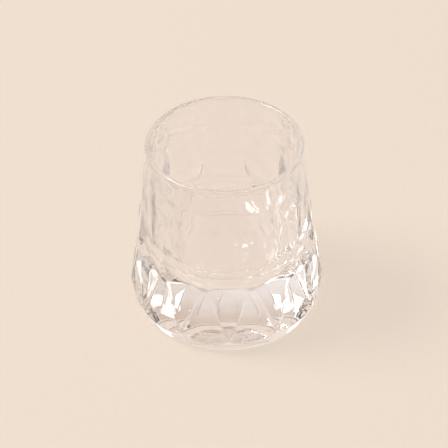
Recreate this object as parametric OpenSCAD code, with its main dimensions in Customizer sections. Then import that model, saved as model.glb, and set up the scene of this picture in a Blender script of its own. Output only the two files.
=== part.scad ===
// Pressed drinking glass: a round rim over twelve tall flat panels, a band of triangular facets
// and a heavy bevelled base. It is one piece of glass. Each module at the end is one region of it,
// and the regions meet face to face. Origin: centre of the foot, on the table. +Z up. A panel
// faces -Y.

/* [Glass] */
// Height over all
height = 95; // [85:1:115]
// Outside diameter at the rim
rim_d = 76; // [72:1:78]
// Flat panels round the glass
panel_count = 12; // [10:1:16]

/* [Rim and wall] */
// Thickness of the glass at the rim
rim_wall = 2.6; // [1.6:0.1:3.2]
// Depth of the fire-polished lip
lip_h = 4; // [3:0.5:6]
// Depth of the plain round band, from the rim to the tops of the panels
band_h = 15.4; // [12:0.2:20]
// How far the plain round band flares out by its bottom, measured along the radius
band_out = 1.3; // [1.1:0.1:3]
// Angle from the upright at which the wall flares out below the band
flare_angle = 34; // [28:1:42]

/* [Panels and facets] */
// Height of the ring of points where each crease forks
fork_h = 39.5; // [34:0.5:46]
// How far those points stand out past the rim, measured along the radius
fork_out = 6.3; // [5:0.1:7.5]
// Height of the widest ring, at the tips of the triangles
widest_h = 9.2; // [7:0.2:12]
// How far the tips stand out past the rim, measured along the radius
widest_out = 10; // [8.5:0.1:11.5]
// How much the bevel takes off each of those tips
tip_trim = 0.3; // [0.1:0.1:0.6]

/* [Base] */
// How far the bevel draws the foot in from the tips, measured along the radius
foot_in = 3.9; // [3:0.1:6]
// Depth of the foot region, up from the table
foot_h = 4.4; // [3.8:0.2:6]
// Width of the ring that the glass rests on, round the hollow under the foot
ring_w = 7.1; // [5:0.1:11]
// Depth of that hollow at its centre
punt_depth = 2.4; // [1:0.1:3.4]

/* [Inside] */
// Height of the inner floor at its middle, which is the thickness of the base
floor_h = 24.5; // [20:0.5:28]
// Diameter of the flat middle of the inner floor, inside the bowl that curves up to the wall
flat_d = 20; // [10:1:30]
// How much the inner wall draws in between the lip and the floor, measured along the radius
wall_draw = 0.2; // [0.2:0.1:3]
// How far the base region rises round the bowl, above the inner floor
base_rise = 6; // [4:0.5:8]

/* [Hidden] */
$fn = 96;
glass_color = [0.87, 0.89, 0.88, 0.5];
// Overrun of every cut past the face that it opens
over = 1;
// Angle from one panel to the next
pitch = 360 / panel_count;
// Radius of the rounded lip, and the height of its centre
lip_r = rim_wall / 2;
lip_z = height - lip_r;
// Inside radius at the lip
mouth_r = rim_d / 2 - rim_wall;
// Height of the bottom of the plain round band, and its outside radius there
band_z = height - band_h;
band_r = rim_d / 2 + band_out;
// Distance from the axis of the forks, and of a panel's plane at their height
fork_r = rim_d / 2 + fork_out;
fork_apothem = fork_r * cos(pitch / 2);
// Distance from the axis of the triangles' tips, and of an upright triangle's lower edge
widest_r = rim_d / 2 + widest_out;
widest_apothem = widest_r * cos(pitch / 2);
// Radius of the foot, and of the hollow under it
foot_r = widest_r - foot_in;
punt_r = foot_r - ring_w;
// Height of the top of the base region
base_z = floor_h + base_rise;
// Side of a block that stands for the space behind a plane
block = 2 * (height + 2 * widest_r);

// Shapes that the regions share

// The space behind a plane that faces out at an azimuth. The plane lies at radius low_r at height
// low_z and at radius high_r at height high_z. Azimuth 0 faces -Y.
module behind_plane(azimuth, low_r, low_z, high_r, high_z) {
    rotate([0, 0, azimuth - 90])
        translate([low_r, 0, low_z])
            rotate([0, atan2(high_r - low_r, high_z - low_z), 0])
                translate([-block, -block / 2, -block / 2])
                    cube(block);
}

// All space between two heights
module layer(low_z, high_z) {
    translate([-block / 2, -block / 2, low_z])
        cube([block, block, high_z - low_z]);
}

// The inside of the cup, open at the top: a slender cone, and a bowl that rounds it into the floor
module cup() {
    // Radius at which wall and floor would meet, and how far the wall leans in per unit of height
    low_r = mouth_r - wall_draw;
    slope = wall_draw / (lip_z - floor_h);
    lean = atan(slope);
    open_z = height + over;
    // The bowl's arc touches both the floor, at the edge of its flat middle, and the wall
    bowl_r = (low_r - flat_d / 2) / (1 / cos(lean) - slope);
    centre = [flat_d / 2, floor_h + bowl_r];
    touch = centre + bowl_r * [cos(lean), -sin(lean)];
    rotate_extrude()
        difference() {
            polygon([[0, floor_h], [low_r, floor_h], [mouth_r + slope * (open_z - lip_z), open_z],
                [0, open_z]]);
            difference() {
                polygon([centre, touch + over * [cos(lean), -sin(lean)],
                    [low_r + over, floor_h - over], [centre[0], floor_h - over]]);
                translate(centre)
                    circle(bowl_r);
            }
        }
}

// The outside turned round: the plain band, then the flare that the panels are cut from
module turned_wall() {
    flare_r = band_r + (band_z - fork_h) * tan(flare_angle);
    rotate_extrude()
        polygon([[0, fork_h], [flare_r, fork_h], [band_r, band_z], [rim_d / 2, lip_z], [0, lip_z]]);
}

// The outside of the base turned round: a bevel that rises from the foot past the widest ring
module turned_base() {
    slope = (foot_in - tip_trim) / widest_h;
    rotate_extrude()
        polygon([[0, 0], [foot_r, 0], [foot_r + slope * fork_h, fork_h], [0, fork_h]]);
}

// The space inside the flat panels
module panels() {
    intersection_for(k = [0:panel_count - 1])
        behind_plane(k * pitch, fork_apothem, fork_h, band_r, band_z);
}

// The space inside the band of triangles. Half of them point down, each with its tip below the
// middle of a panel, and half point up, each with its tip at a fork.
module triangles() {
    intersection_for(k = [0:panel_count - 1])
        intersection() {
            behind_plane(k * pitch, widest_r, widest_h, fork_apothem, fork_h);
            behind_plane((k + 0.5) * pitch, widest_apothem, widest_h, fork_r, fork_h);
        }
}

// The shallow dome that hollows the underside
module punt() {
    dome_r = (pow(punt_r, 2) + pow(punt_depth, 2)) / (2 * punt_depth);
    rotate_extrude()
        intersection() {
            translate([0, punt_depth - dome_r])
                circle(dome_r, $fn = 1440);
            translate([0, -over])
                square([2 * punt_r, punt_depth + 2 * over]);
        }
}

// Regions of the glass, from the rim down

// The fire-polished lip
module rim() {
    color(glass_color)
        difference() {
            union() {
                intersection() {
                    turned_wall();
                    layer(height - lip_h, lip_z);
                }
                rotate_extrude()
                    translate([rim_d / 2 - lip_r, lip_z])
                        circle(lip_r);
            }
            cup();
        }
}

// The plain round band below the lip
module plain_band() {
    color(glass_color)
        difference() {
            intersection() {
                turned_wall();
                layer(band_z, height - lip_h);
            }
            cup();
        }
}

// The wall of tall flat panels, with scalloped tops where they meet the flare
module panel_wall() {
    color(glass_color)
        difference() {
            intersection() {
                turned_wall();
                panels();
                layer(fork_h, band_z);
            }
            cup();
        }
}

// The upper part of the triangles, round the bowl
module facet_wall() {
    color(glass_color)
        difference() {
            intersection() {
                triangles();
                layer(base_z, fork_h);
            }
            cup();
        }
}

// The heavy base, with the bottom of the bowl in its top and the widest ring round it
module base() {
    color(glass_color)
        difference() {
            intersection() {
                triangles();
                turned_base();
                layer(foot_h, base_z);
            }
            cup();
        }
}

// The foot, hollowed below so that it rests on a ring
module foot() {
    color(glass_color)
        difference() {
            intersection() {
                triangles();
                turned_base();
                layer(0, foot_h);
            }
            punt();
        }
}

rim();
plain_band();
panel_wall();
facet_wall();
base();
foot();
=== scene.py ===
"""A clear pressed drinking glass on a plain pale floor, in soft light from a window at its left."""
import math

import bpy
import numpy as np
from mathutils import Matrix, Vector


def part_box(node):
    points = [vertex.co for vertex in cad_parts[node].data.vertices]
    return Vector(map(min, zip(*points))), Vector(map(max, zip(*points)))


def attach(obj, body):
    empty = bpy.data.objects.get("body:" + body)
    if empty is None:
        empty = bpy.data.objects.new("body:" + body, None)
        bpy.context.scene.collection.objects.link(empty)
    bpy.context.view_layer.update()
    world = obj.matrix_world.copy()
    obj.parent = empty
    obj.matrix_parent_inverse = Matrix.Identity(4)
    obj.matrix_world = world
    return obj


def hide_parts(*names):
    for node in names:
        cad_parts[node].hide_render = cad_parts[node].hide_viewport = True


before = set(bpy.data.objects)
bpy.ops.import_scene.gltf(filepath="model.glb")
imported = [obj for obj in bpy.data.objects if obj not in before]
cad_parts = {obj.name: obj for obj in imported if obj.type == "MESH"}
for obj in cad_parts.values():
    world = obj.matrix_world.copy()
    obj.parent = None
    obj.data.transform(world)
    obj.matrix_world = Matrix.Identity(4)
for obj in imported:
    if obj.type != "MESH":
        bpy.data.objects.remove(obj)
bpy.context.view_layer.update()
MM = 0.001

# Outside of the glass, as in the CAD model. The boxes of the CAD nodes give the first four of its places.
band_low, band_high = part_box("plain_band")
BAND_Z = band_low.z
BAND_R = band_high.x
LIP_LOW_Z = band_high.z
FORK_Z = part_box("facet_wall")[1].z
LIP_H = 4 * MM
HEIGHT = LIP_LOW_Z + LIP_H
RIM_R = 38 * MM
RIM_WALL = 2.6 * MM
FLARE = math.radians(34)
FORK_R = 44.3 * MM
WIDEST_Z = 9.2 * MM
WIDEST_R = 48 * MM
TIP_TRIM = 0.3 * MM
FOOT_R = 44.1 * MM
PUNT_R = 37 * MM
PUNT_DEPTH = 2.4 * MM
PANELS = 12
PITCH = 2 * math.pi / PANELS
HALF = PITCH / 2

# Inside of the glass
FLOOR_Z = 24.5 * MM
FLAT_R = 10 * MM
WALL_DRAW = 0.2 * MM
LIP_R = RIM_WALL / 2
LIP_Z = HEIGHT - LIP_R
MOUTH_R = RIM_R - RIM_WALL

# Softness of the edges: how far apart two faces may be and still blend
CREASE_BLEND = 0.4 * MM
FACET_BLEND = 0.2 * MM
BEVEL_BLEND = 0.5 * MM
FLARE_BLEND = 2.5 * MM
# What the creases between the panels soften to, and the heights between which they do
CREASE_SOFT = 2.5 * MM
CREASE_LOW = 42 * MM
CREASE_HIGH = 80 * MM
# How far the edges stand up, as where a mould was cut
CREASE_RISE = 0.1 * MM
FACET_RISE = 0.3 * MM
# Radius of the rounded edge round the foot
FOOT_EDGE_R = 0.8 * MM

# The slight neck that fire polishing leaves under the lip, on both sides of the wall
NECK_DEPTH = 0.3 * MM
NECK_START = 0.9 * MM
NECK_END = 6 * MM

# The mesh is finer within this distance of an edge
STRIP = 1.2 * MM
# Columns across the plain part and the fine part of each face
FLAT_COLUMNS = 4
STRIP_COLUMNS = 6
# The largest share of a face that its fine part may take
STRIP_SHARE = 0.8
# Rows of the outside, from the lip down
LIP_ROWS = 16
BAND_ROWS = 6
ARCH_ROWS = 8
PANEL_ROWS = 14
FORK_ROWS = 8
TRIANGLE_ROWS = 24
WIDEST_ROWS = 10
BEVEL_ROWS = 5
# Points of the turned outlines
FOOT_EDGE_POINTS = 7
DOME_POINTS = 20
FLOOR_POINTS = 6
BOWL_POINTS = 36
LIP_POINTS = 17
WALL_STEP = 3 * MM
# Radius inside which a cap closes the mesh, and how far from an edge of the foot's ring the next point is
CAP_R = 0.5 * MM
RING_STEP = 0.5 * MM
# Steps of the search for the bevel's top, and what damps them
SEARCH_STEPS = 30
SEARCH_DAMPING = 0.2


def line_through(z0, r0, z1, r1):
    """The radius at any height of a line through two points."""
    slope = (r1 - r0) / (z1 - z0)
    return lambda z: r0 + (z - z0) * slope


# Faces of the outside: a panel, the triangles that point down and up, the band, the flare and the bevel
panel = line_through(BAND_Z, BAND_R, FORK_Z, FORK_R * math.cos(HALF))
down = line_through(FORK_Z, FORK_R * math.cos(HALF), WIDEST_Z, WIDEST_R)
up = line_through(FORK_Z, FORK_R, WIDEST_Z, WIDEST_R * math.cos(HALF))
band = line_through(LIP_Z, RIM_R, BAND_Z, BAND_R)
flare = line_through(BAND_Z, BAND_R, 0, BAND_R + BAND_Z * math.tan(FLARE))
bevel = line_through(0, FOOT_R, WIDEST_Z, WIDEST_R - TIP_TRIM)


def blend_min(a, b, reach):
    """The lesser of two numbers, rounded where they come nearer than reach."""
    near = np.maximum(reach - np.abs(a - b), 0)
    return np.minimum(a, b) - near * near / (4 * reach)


def blend_max(a, b, reach):
    """The greater of two numbers, rounded where they come nearer than reach."""
    return -blend_min(-a, -b, reach)


def smoothstep(t):
    """A smooth step from 0 to 1."""
    t = np.clip(t, 0, 1)
    return t * t * (3 - 2 * t)


def ridge(a, b, reach, rise):
    """A blended edge that stands up by rise."""
    return blend_min(a, b, reach) + rise * smoothstep(1 - np.abs(a - b) / reach)


def neck(z):
    """How much of the neck's depth the wall has under the lip, at a height."""
    below = np.maximum(LIP_Z - z, 0)
    return (1 - np.exp(-(below / NECK_START) ** 2)) * np.exp(-(below / NECK_END) ** 2)


def outside(azimuth, z):
    """The radius of the glass's outside. Azimuth is counted from the middle of the nearest panel."""
    a = np.abs(azimuth)
    high = smoothstep((z - CREASE_LOW) / (CREASE_HIGH - CREASE_LOW))
    crease_blend = CREASE_BLEND + (CREASE_SOFT - CREASE_BLEND) * high
    crease_rise = CREASE_RISE * (1 - high)
    face = blend_max(panel(z), down(z), FLARE_BLEND)
    panels = ridge(face / np.cos(a), face / np.cos(PITCH - a), crease_blend, crease_rise)
    with_up = ridge(panels, up(z) / np.cos(HALF - a), FACET_BLEND, FACET_RISE)
    turned = blend_max(band(z), flare(z), FLARE_BLEND) - NECK_DEPTH * neck(z)
    walls = blend_min(with_up, turned, FLARE_BLEND)
    return blend_min(walls, bevel(z), BEVEL_BLEND)


def diagonal(z):
    """The azimuth of the edge between a triangle that points down and one that points up."""
    inside = np.clip(z, WIDEST_Z, FORK_Z)
    tangent = (up(inside) / down(inside) - math.cos(HALF)) / math.sin(HALF)
    return np.clip(np.arctan(tangent), 0, HALF)


def arch(azimuth):
    """The height at which a panel's scalloped top meets the flare."""
    a = np.abs(azimuth)
    panel_slope = (panel(0) - panel(1)) / np.cos(a)
    return BAND_Z - (BAND_R / np.cos(a) - BAND_R) / (math.tan(FLARE) - panel_slope)


def bevel_top(azimuth):
    """The height at which the faces above meet the bevel."""
    a = np.abs(azimuth)
    bevel_slope = bevel(1) - bevel(0)
    z = np.full_like(a, WIDEST_Z)
    for _ in range(SEARCH_STEPS):
        faces = np.minimum(down(z) / np.cos(a), up(z) / np.cos(HALF - a))
        z = z + (faces - bevel(z)) / (bevel_slope + SEARCH_DAMPING)
    return z


def spread(start, end, count):
    """Even steps from start up to but without end."""
    return np.linspace(start, end, count, endpoint=False)


def half_columns(z):
    """Azimuths across half a panel at a height, gathered about the edge that runs there."""
    strip = STRIP / FORK_R
    edge = float(np.clip(diagonal(z), strip / 2, HALF - strip / 2))
    left = min(strip, edge * STRIP_SHARE)
    right = min(strip, (HALF - edge) * STRIP_SHARE)
    return np.concatenate([
        spread(0, edge - left, FLAT_COLUMNS),
        spread(edge - left, edge, STRIP_COLUMNS),
        spread(edge, edge + right, STRIP_COLUMNS),
        spread(edge + right, HALF, FLAT_COLUMNS),
    ])


def columns(z, evenness):
    """Azimuths all round, first counted from the middle of the nearest panel, then in plain form.

    Evenness 0 gathers them about the edges, and 1 spaces them evenly.
    """
    half = half_columns(z)
    even = spread(0, HALF, len(half))
    half = half + (even - half) * evenness
    mirrored = PITCH - np.concatenate([[HALF], half[:0:-1]])
    one = np.concatenate([half, mirrored])
    folded = np.concatenate([np.where(one > HALF, one - PITCH, one)] * PANELS)
    plain = np.concatenate([one + k * PITCH for k in range(PANELS)])
    return folded, plain


def level(z):
    """The same height at every azimuth."""
    return lambda azimuth: np.full_like(azimuth, z)


def outer_levels():
    """Where the outside changes, from the lip down.

    Each entry has the height at an azimuth, the height that the columns are gathered for, their
    evenness, and the rows from there to the next entry.
    """
    return [
        (level(LIP_Z), HEIGHT, 1, LIP_ROWS),
        (level(LIP_Z - LIP_H), HEIGHT, 1, BAND_ROWS),
        (level(BAND_Z + STRIP), HEIGHT, 0, ARCH_ROWS),
        (lambda azimuth: arch(azimuth) - STRIP, HEIGHT, 0, PANEL_ROWS),
        (level(FORK_Z + STRIP), FORK_Z + STRIP, 0, FORK_ROWS),
        (level(FORK_Z - STRIP), FORK_Z - STRIP, 0, TRIANGLE_ROWS),
        (lambda azimuth: bevel_top(azimuth) + STRIP, WIDEST_Z + STRIP, 0, WIDEST_ROWS),
        (lambda azimuth: bevel_top(azimuth) - STRIP, WIDEST_Z - STRIP, 0, BEVEL_ROWS),
        (level(FOOT_EDGE_R), WIDEST_Z - STRIP, 1, 0),
    ]


def between(a, b, t):
    """The value that is a share t of the way from a to b."""
    return a * (1 - t) + b * t


def outer_rows():
    """Rings of points from the lip down to the foot's edge, as (radii, heights, azimuths)."""
    levels = outer_levels()
    rows = []
    for (top, top_column, top_even, count), (low, low_column, low_even, _) in zip(levels, levels[1:]):
        for t in spread(0, 1, count):
            folded, plain = columns(between(top_column, low_column, t), between(top_even, low_even, t))
            z = between(top(folded), low(folded), t)
            rows.append((outside(folded, z), z, plain))
    return rows


def arc(centre_r, centre_z, radius, start, end, count):
    """Points along an arc, with angles in degrees from outward."""
    angles = np.radians(np.linspace(start, end, count))
    return [(centre_r + radius * math.cos(t), centre_z + radius * math.sin(t)) for t in angles]


def filled(path, most):
    """The path with points added so that no step is longer than most."""
    points = [path[0]]
    for a, b in zip(path, path[1:]):
        steps = max(1, math.ceil(math.dist(a, b) / most))
        for k in range(1, steps + 1):
            points.append((between(a[0], b[0], k / steps), between(a[1], b[1], k / steps)))
    return points


def foot_profile():
    """The foot's rounded edge, the ring that it rests on and the hollow under it."""
    dome_r = (PUNT_R ** 2 + PUNT_DEPTH ** 2) / (2 * PUNT_DEPTH)
    edge = arc(FOOT_R - FOOT_EDGE_R, FOOT_EDGE_R, FOOT_EDGE_R, 0, -90, FOOT_EDGE_POINTS)
    ring = [(FOOT_R - FOOT_EDGE_R - RING_STEP, 0), (PUNT_R + RING_STEP, 0), (PUNT_R, 0)]
    dome = [(r, PUNT_DEPTH - dome_r + math.sqrt(dome_r ** 2 - r ** 2))
            for r in np.linspace(PUNT_R, CAP_R, DOME_POINTS)[1:]]
    return edge + ring + dome


def cup_profile():
    """The inside, from the middle of the floor up round the bowl to the lip, then over the lip."""
    slope = WALL_DRAW / (LIP_Z - FLOOR_Z)
    lean = math.atan(slope)
    bowl_r = (MOUTH_R - WALL_DRAW - FLAT_R) / (1 / math.cos(lean) - slope)
    floor = [(r, FLOOR_Z) for r in spread(CAP_R, FLAT_R, FLOOR_POINTS)]
    bowl = arc(FLAT_R, FLOOR_Z + bowl_r, bowl_r, -90, -math.degrees(lean), BOWL_POINTS)
    wall = filled([bowl[-1], (MOUTH_R, LIP_Z - LIP_H)], WALL_STEP)[1:]
    wall += filled([wall[-1], (MOUTH_R, LIP_Z)], LIP_H / LIP_ROWS)[1:-1]
    necked = [(r + NECK_DEPTH * float(neck(z)), z) for r, z in wall]
    lip = arc(RIM_R - LIP_R, LIP_Z, LIP_R, 180, 0, LIP_POINTS)
    return floor + bowl + necked + lip[:-1]


def turned_rows(points, azimuths):
    """Rings for the points of a turned outline."""
    return [(np.full_like(azimuths, r), np.full_like(azimuths, z), azimuths) for r, z in points]


def glass_mesh():
    """One closed mesh of the whole glass."""
    even = columns(HEIGHT, 1.0)[1]
    outer = outer_rows() + turned_rows(foot_profile(), even)
    inner = turned_rows(cup_profile(), even)
    count = len(even)
    verts, faces = [], []

    def ring(row):
        r, z, azimuths = row
        first = len(verts)
        verts.extend(zip(r * np.sin(azimuths), -r * np.cos(azimuths), z))
        return first

    def join(upper, lower):
        for j in range(count):
            k = (j + 1) % count
            faces.append((upper + j, lower + j, lower + k, upper + k))

    def cap(first, z, facing_up):
        centre = len(verts)
        verts.append((0.0, 0.0, z))
        for j in range(count):
            k = (j + 1) % count
            faces.append((first + j, first + k, centre) if facing_up else (first + k, first + j, centre))

    outer_firsts = [ring(row) for row in outer]
    for upper, lower in zip(outer_firsts, outer_firsts[1:]):
        join(upper, lower)
    cap(outer_firsts[-1], PUNT_DEPTH, False)
    inner_firsts = [ring(row) for row in inner]
    for lower, upper in zip(inner_firsts, inner_firsts[1:]):
        join(lower, upper)
    cap(inner_firsts[0], FLOOR_Z, True)
    join(inner_firsts[-1], outer_firsts[0])
    mesh = bpy.data.meshes.new("glass")
    mesh.from_pydata([tuple(map(float, v)) for v in verts], [], faces)
    mesh.validate()
    mesh.polygons.foreach_set("use_smooth", [True] * len(mesh.polygons))
    mesh.update()
    return mesh


# Clear glass, faintly tinted
GLASS_TINT = (0.985, 0.975, 0.98, 1)
GLASS_IOR = 1.5
# How much of the light goes through. The rest is a faint haze, as pressed glass has.
CLEARNESS = 0.985
# Waviness of the glass: features per metre, their detail and their height
WAVE_SCALE = 70
WAVE_DETAIL = 1
WAVE_HEIGHT = 0.15 * MM
# Roughness of the pressed walls, and of the lip, which fire polishing leaves faintly rippled
WALL_ROUGHNESS = 0.0
LIP_ROUGHNESS = 0.25
# How deep the rippled lip is, and half the height in which it fades into the wall
LIP_SOFT_H = 2.2 * MM
LIP_FADE = 0.5 * MM

# Plain paper: its colour, and the fine fibre that varies it
FLOOR_COLOR = (0.864, 0.737, 0.624, 1)
FIBRE_SCALE = 500
FIBRE_DETAIL = 3
FIBRE_DEPTH = 0.03
FIBRE_HEIGHT = 0.02 * MM
# How much of what the camera and the glass see of the paper is its own colour. The rest is lit.
CAMERA_GLOW = 0.8
GLASS_GLOW = 1.0
# Half the width of the sheet, in metres
FLOOR_HALF = 4.0
# How far the paper lies below the foot, so that the two faces don't share a plane
FLOOR_DROP = 0.02 * MM


def new_tree(owner):
    """The emptied node tree of a material or a world."""
    owner.use_nodes = True
    owner.node_tree.nodes.clear()
    return owner.node_tree


def glass_material():
    """Clear glass with the slight waviness that a mould leaves."""
    material = bpy.data.materials.new("clear_glass")
    tree = new_tree(material)
    out = tree.nodes.new("ShaderNodeOutputMaterial")
    glass = tree.nodes.new("ShaderNodeBsdfPrincipled")
    glass.inputs["Base Color"].default_value = GLASS_TINT
    glass.inputs["IOR"].default_value = GLASS_IOR
    glass.inputs["Transmission Weight"].default_value = CLEARNESS
    where = tree.nodes.new("ShaderNodeTexCoord")
    waves = tree.nodes.new("ShaderNodeTexNoise")
    waves.inputs["Scale"].default_value = WAVE_SCALE
    waves.inputs["Detail"].default_value = WAVE_DETAIL
    bump = tree.nodes.new("ShaderNodeBump")
    bump.inputs["Distance"].default_value = WAVE_HEIGHT
    tree.links.new(where.outputs["Object"], waves.inputs["Vector"])
    tree.links.new(waves.outputs[0], bump.inputs["Height"])
    tree.links.new(bump.outputs[0], glass.inputs["Normal"])
    parts = tree.nodes.new("ShaderNodeSeparateXYZ")
    lip = tree.nodes.new("ShaderNodeMapRange")
    tree.links.new(where.outputs["Object"], parts.inputs[0])
    lip.inputs["From Min"].default_value = HEIGHT - LIP_SOFT_H - LIP_FADE
    lip.inputs["From Max"].default_value = HEIGHT - LIP_SOFT_H + LIP_FADE
    lip.inputs["To Min"].default_value = WALL_ROUGHNESS
    lip.inputs["To Max"].default_value = LIP_ROUGHNESS
    tree.links.new(parts.outputs["Z"], lip.inputs["Value"])
    tree.links.new(lip.outputs[0], glass.inputs["Roughness"])
    tree.links.new(glass.outputs[0], out.inputs["Surface"])
    return material


def seen_by(tree, shares):
    """The share that applies to a ray, the greatest where the ray is of several of the kinds."""
    path = tree.nodes.new("ShaderNodeLightPath")
    seen = None
    for kind, share in shares.items():
        times = tree.nodes.new("ShaderNodeMath")
        times.operation = "MULTIPLY"
        tree.links.new(path.outputs[kind], times.inputs[0])
        times.inputs[1].default_value = share
        if seen is None:
            seen = times
            continue
        most = tree.nodes.new("ShaderNodeMath")
        most.operation = "MAXIMUM"
        tree.links.new(seen.outputs[0], most.inputs[0])
        tree.links.new(times.outputs[0], most.inputs[1])
        seen = most
    return seen.outputs[0]


def paper_material():
    """Matt paper. Part of what the camera and the glass see of it is its own colour, the rest is lit."""
    material = bpy.data.materials.new("paper")
    tree = new_tree(material)
    out = tree.nodes.new("ShaderNodeOutputMaterial")
    paint = tree.nodes.new("ShaderNodeBsdfDiffuse")
    glow = tree.nodes.new("ShaderNodeEmission")
    where = tree.nodes.new("ShaderNodeTexCoord")
    fibre = tree.nodes.new("ShaderNodeTexNoise")
    fibre.inputs["Scale"].default_value = FIBRE_SCALE
    fibre.inputs["Detail"].default_value = FIBRE_DETAIL
    tree.links.new(where.outputs["Object"], fibre.inputs["Vector"])
    tone = tree.nodes.new("ShaderNodeMapRange")
    tone.inputs["To Min"].default_value = 1 - FIBRE_DEPTH
    tone.inputs["To Max"].default_value = 1 + FIBRE_DEPTH
    tree.links.new(fibre.outputs[0], tone.inputs["Value"])
    colour = tree.nodes.new("ShaderNodeVectorMath")
    colour.operation = "SCALE"
    colour.inputs[0].default_value = FLOOR_COLOR[:3]
    tree.links.new(tone.outputs[0], colour.inputs["Scale"])
    tree.links.new(colour.outputs[0], paint.inputs["Color"])
    tree.links.new(colour.outputs[0], glow.inputs["Color"])
    bump = tree.nodes.new("ShaderNodeBump")
    bump.inputs["Distance"].default_value = FIBRE_HEIGHT
    tree.links.new(fibre.outputs[0], bump.inputs["Height"])
    tree.links.new(bump.outputs[0], paint.inputs["Normal"])
    own = seen_by(tree, {
        "Is Camera Ray": CAMERA_GLOW,
        "Is Glossy Ray": GLASS_GLOW,
        "Is Transmission Ray": GLASS_GLOW,
    })
    mix = tree.nodes.new("ShaderNodeMixShader")
    tree.links.new(own, mix.inputs[0])
    tree.links.new(paint.outputs[0], mix.inputs[1])
    tree.links.new(glow.outputs[0], mix.inputs[2])
    tree.links.new(mix.outputs[0], out.inputs["Surface"])
    return material


def make_floor():
    """A wide sheet of paper."""
    corners = [(-1, -1), (1, -1), (1, 1), (-1, 1)]
    mesh = bpy.data.meshes.new("floor")
    mesh.from_pydata([(x * FLOOR_HALF, y * FLOOR_HALF, 0) for x, y in corners], [], [(0, 1, 2, 3)])
    floor = bpy.data.objects.new("floor", mesh)
    bpy.context.scene.collection.objects.link(floor)
    mesh.materials.append(paper_material())
    floor.location.z = -FLOOR_DROP


# Lamps, with angles in degrees, sizes in metres and their share of the light on the floor
LAMP_DISTANCE = 3.0
WINDOW = {"azimuth": -95, "elevation": 52, "width": 1.4, "height": 1.0, "share": 0.72}
# Pale strips behind the glass, so faint that they only show in its base
REFLECTOR = {"elevation": 40, "width": 0.45, "height": 1.2, "share": 0.01}
REFLECTOR_AZIMUTHS = (-146, -128, 128, 146)
# Share of the light on the floor that comes evenly from all round
WORLD_SHARE = 0.29


def area_lamp(name, azimuth, elevation, width, height, share):
    """A lamp that faces the glass. Azimuth 0 is in front of it and 90 at its right."""
    data = bpy.data.lights.new(name, "AREA")
    data.shape = "RECTANGLE"
    data.size = width
    data.size_y = height
    azimuth = math.radians(azimuth)
    elevation = math.radians(elevation)
    # The power that makes white paper under the glass this share of white
    data.energy = share * math.pi ** 2 * LAMP_DISTANCE ** 2 / math.sin(elevation)
    lamp = bpy.data.objects.new(name, data)
    bpy.context.scene.collection.objects.link(lamp)
    level_part = math.cos(elevation)
    toward = Vector((math.sin(azimuth) * level_part, -math.cos(azimuth) * level_part, math.sin(elevation)))
    lamp.location = toward * LAMP_DISTANCE
    lamp.rotation_euler = (-toward).to_track_quat("-Z", "Y").to_euler()


def make_lamps():
    """The window, and the strips behind."""
    area_lamp("window", **WINDOW)
    for azimuth in REFLECTOR_AZIMUTHS:
        area_lamp("reflector", azimuth, **REFLECTOR)


# Walls of the room at the left and right, and the sine of the angle by which one has turned into the other
SKY_LEFT = (0.95, 0.89, 0.85, 1)
SKY_RIGHT = (0.76, 0.66, 0.58, 1)
SKY_SIDE = 0.7
# Tones of the room from the horizon up, by the sine of the elevation
SKY_DARK = (0.18, 0.15, 0.13, 1)
WHITE = (1, 1, 1, 1)
SKY_WARM = (0.76, 0.65, 0.56, 1)
SKY_TONES = [(0.0, SKY_DARK), (0.12, SKY_DARK), (0.23, WHITE), (0.5, WHITE), (0.9, SKY_WARM)]
# Places of the colour sockets of a Mix node
MIX_A = 6
MIX_B = 7
MIX_RESULT = 2


def colour_mix(tree, blend):
    """A Mix node for colours."""
    node = tree.nodes.new("ShaderNodeMix")
    node.data_type = "RGBA"
    node.blend_type = blend
    return node


def make_world():
    """An even white light on the object.

    The camera and the glass see a room in its place, which is dark at the horizon, pale above that
    and warmer overhead.
    """
    world = bpy.data.worlds.new("studio")
    bpy.context.scene.world = world
    tree = new_tree(world)
    out = tree.nodes.new("ShaderNodeOutputWorld")
    light = tree.nodes.new("ShaderNodeBackground")
    light.inputs["Color"].default_value = WHITE
    light.inputs["Strength"].default_value = WORLD_SHARE
    room = tree.nodes.new("ShaderNodeBackground")
    where = tree.nodes.new("ShaderNodeTexCoord")
    parts = tree.nodes.new("ShaderNodeSeparateXYZ")
    tree.links.new(where.outputs["Generated"], parts.inputs[0])
    side = tree.nodes.new("ShaderNodeMapRange")
    side.inputs["From Min"].default_value = -SKY_SIDE
    side.inputs["From Max"].default_value = SKY_SIDE
    tree.links.new(parts.outputs["X"], side.inputs["Value"])
    walls = colour_mix(tree, "MIX")
    walls.inputs[MIX_A].default_value = SKY_LEFT
    walls.inputs[MIX_B].default_value = SKY_RIGHT
    tree.links.new(side.outputs[0], walls.inputs["Factor"])
    tones = tree.nodes.new("ShaderNodeValToRGB")
    ramp = tones.color_ramp
    ramp.interpolation = "EASE"
    given = len(ramp.elements)
    for stop, (place, colour) in enumerate(SKY_TONES):
        mark = ramp.elements[stop] if stop < given else ramp.elements.new(place)
        mark.position = place
        mark.color = colour
    tree.links.new(parts.outputs["Z"], tones.inputs[0])
    toned = colour_mix(tree, "MULTIPLY")
    toned.inputs["Factor"].default_value = 1
    tree.links.new(walls.outputs[MIX_RESULT], toned.inputs[MIX_A])
    tree.links.new(tones.outputs[0], toned.inputs[MIX_B])
    tree.links.new(toned.outputs[MIX_RESULT], room.inputs["Color"])
    seen = seen_by(tree, {"Is Camera Ray": 1, "Is Glossy Ray": 1, "Is Transmission Ray": 1})
    both = tree.nodes.new("ShaderNodeMixShader")
    tree.links.new(seen, both.inputs[0])
    tree.links.new(light.outputs[0], both.inputs[1])
    tree.links.new(room.outputs[0], both.inputs[2])
    tree.links.new(both.outputs[0], out.inputs["Surface"])


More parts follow.
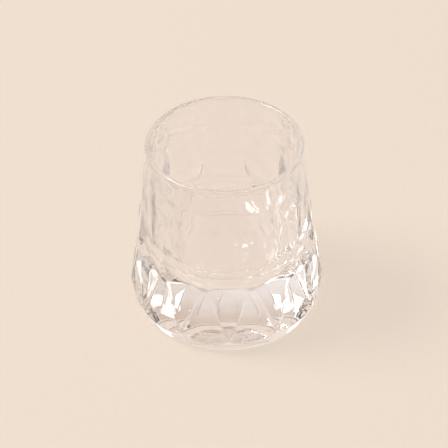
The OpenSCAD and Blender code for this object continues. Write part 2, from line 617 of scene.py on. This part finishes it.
# The camera, from a fit to the rim, the creases and the foot in the photograph
IMAGE_PX = 448
FOCAL_PX = 2000
RIM_CENTRE_PX = (225.9, 142.5)
SENSOR_MM = 36
CAMERA_DISTANCE = 25.069 * RIM_R
CAMERA_ELEVATION = math.radians(37.827)
CAMERA_ROLL = math.radians(1.05)
# How far the glass is turned under the camera
GLASS_TURN = math.radians(0.779)
# The nearest thing that the camera shows
NEAREST = 10 * MM


def make_camera():
    """A camera whose picture has the rim's centre at its place in the photograph."""
    data = bpy.data.cameras.new("camera")
    data.sensor_width = SENSOR_MM
    data.lens = SENSOR_MM * FOCAL_PX / IMAGE_PX
    data.clip_start = NEAREST
    camera = bpy.data.objects.new("camera", data)
    bpy.context.scene.collection.objects.link(camera)
    ahead = Vector((0, math.cos(CAMERA_ELEVATION), -math.sin(CAMERA_ELEVATION)))
    above = Vector((0, math.sin(CAMERA_ELEVATION), math.cos(CAMERA_ELEVATION)))
    right = Vector((1, 0, 0))
    place = Vector((0, 0, HEIGHT)) - ahead * CAMERA_DISTANCE
    middle = IMAGE_PX / 2
    pan = math.atan2(RIM_CENTRE_PX[0] - middle, FOCAL_PX)
    tilt = math.atan2(RIM_CENTRE_PX[1] - middle, FOCAL_PX)
    aim = Matrix.Rotation(pan, 3, above) @ Matrix.Rotation(tilt, 3, right)
    ahead = aim @ ahead
    rolled = Matrix.Rotation(CAMERA_ROLL, 3, ahead)
    right, above = rolled @ (aim @ right), rolled @ (aim @ above)
    turn = Matrix.Rotation(-GLASS_TURN, 3, "Z")
    axes = turn @ Matrix((right, above, -ahead)).transposed()
    camera.matrix_world = Matrix.Translation(turn @ place) @ axes.to_4x4()
    bpy.context.scene.camera = camera


def make_glass():
    """The glass, which stands for all the regions of the CAD model."""
    glass = bpy.data.objects.new("glass_tumbler", glass_mesh())
    bpy.context.scene.collection.objects.link(glass)
    glass.data.materials.append(glass_material())
    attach(glass, "root")
    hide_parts("rim", "plain_band", "panel_wall", "facet_wall", "base", "foot")


# Enough bounces for light to find its way out of the heavy base
BOUNCES = 24
GLOSSY_BOUNCES = 12

make_camera()
make_glass()
make_floor()
make_lamps()
make_world()
scene = bpy.context.scene
scene.view_settings.view_transform = "Standard"
scene.cycles.max_bounces = BOUNCES
scene.cycles.transmission_bounces = BOUNCES
scene.cycles.glossy_bounces = GLOSSY_BOUNCES
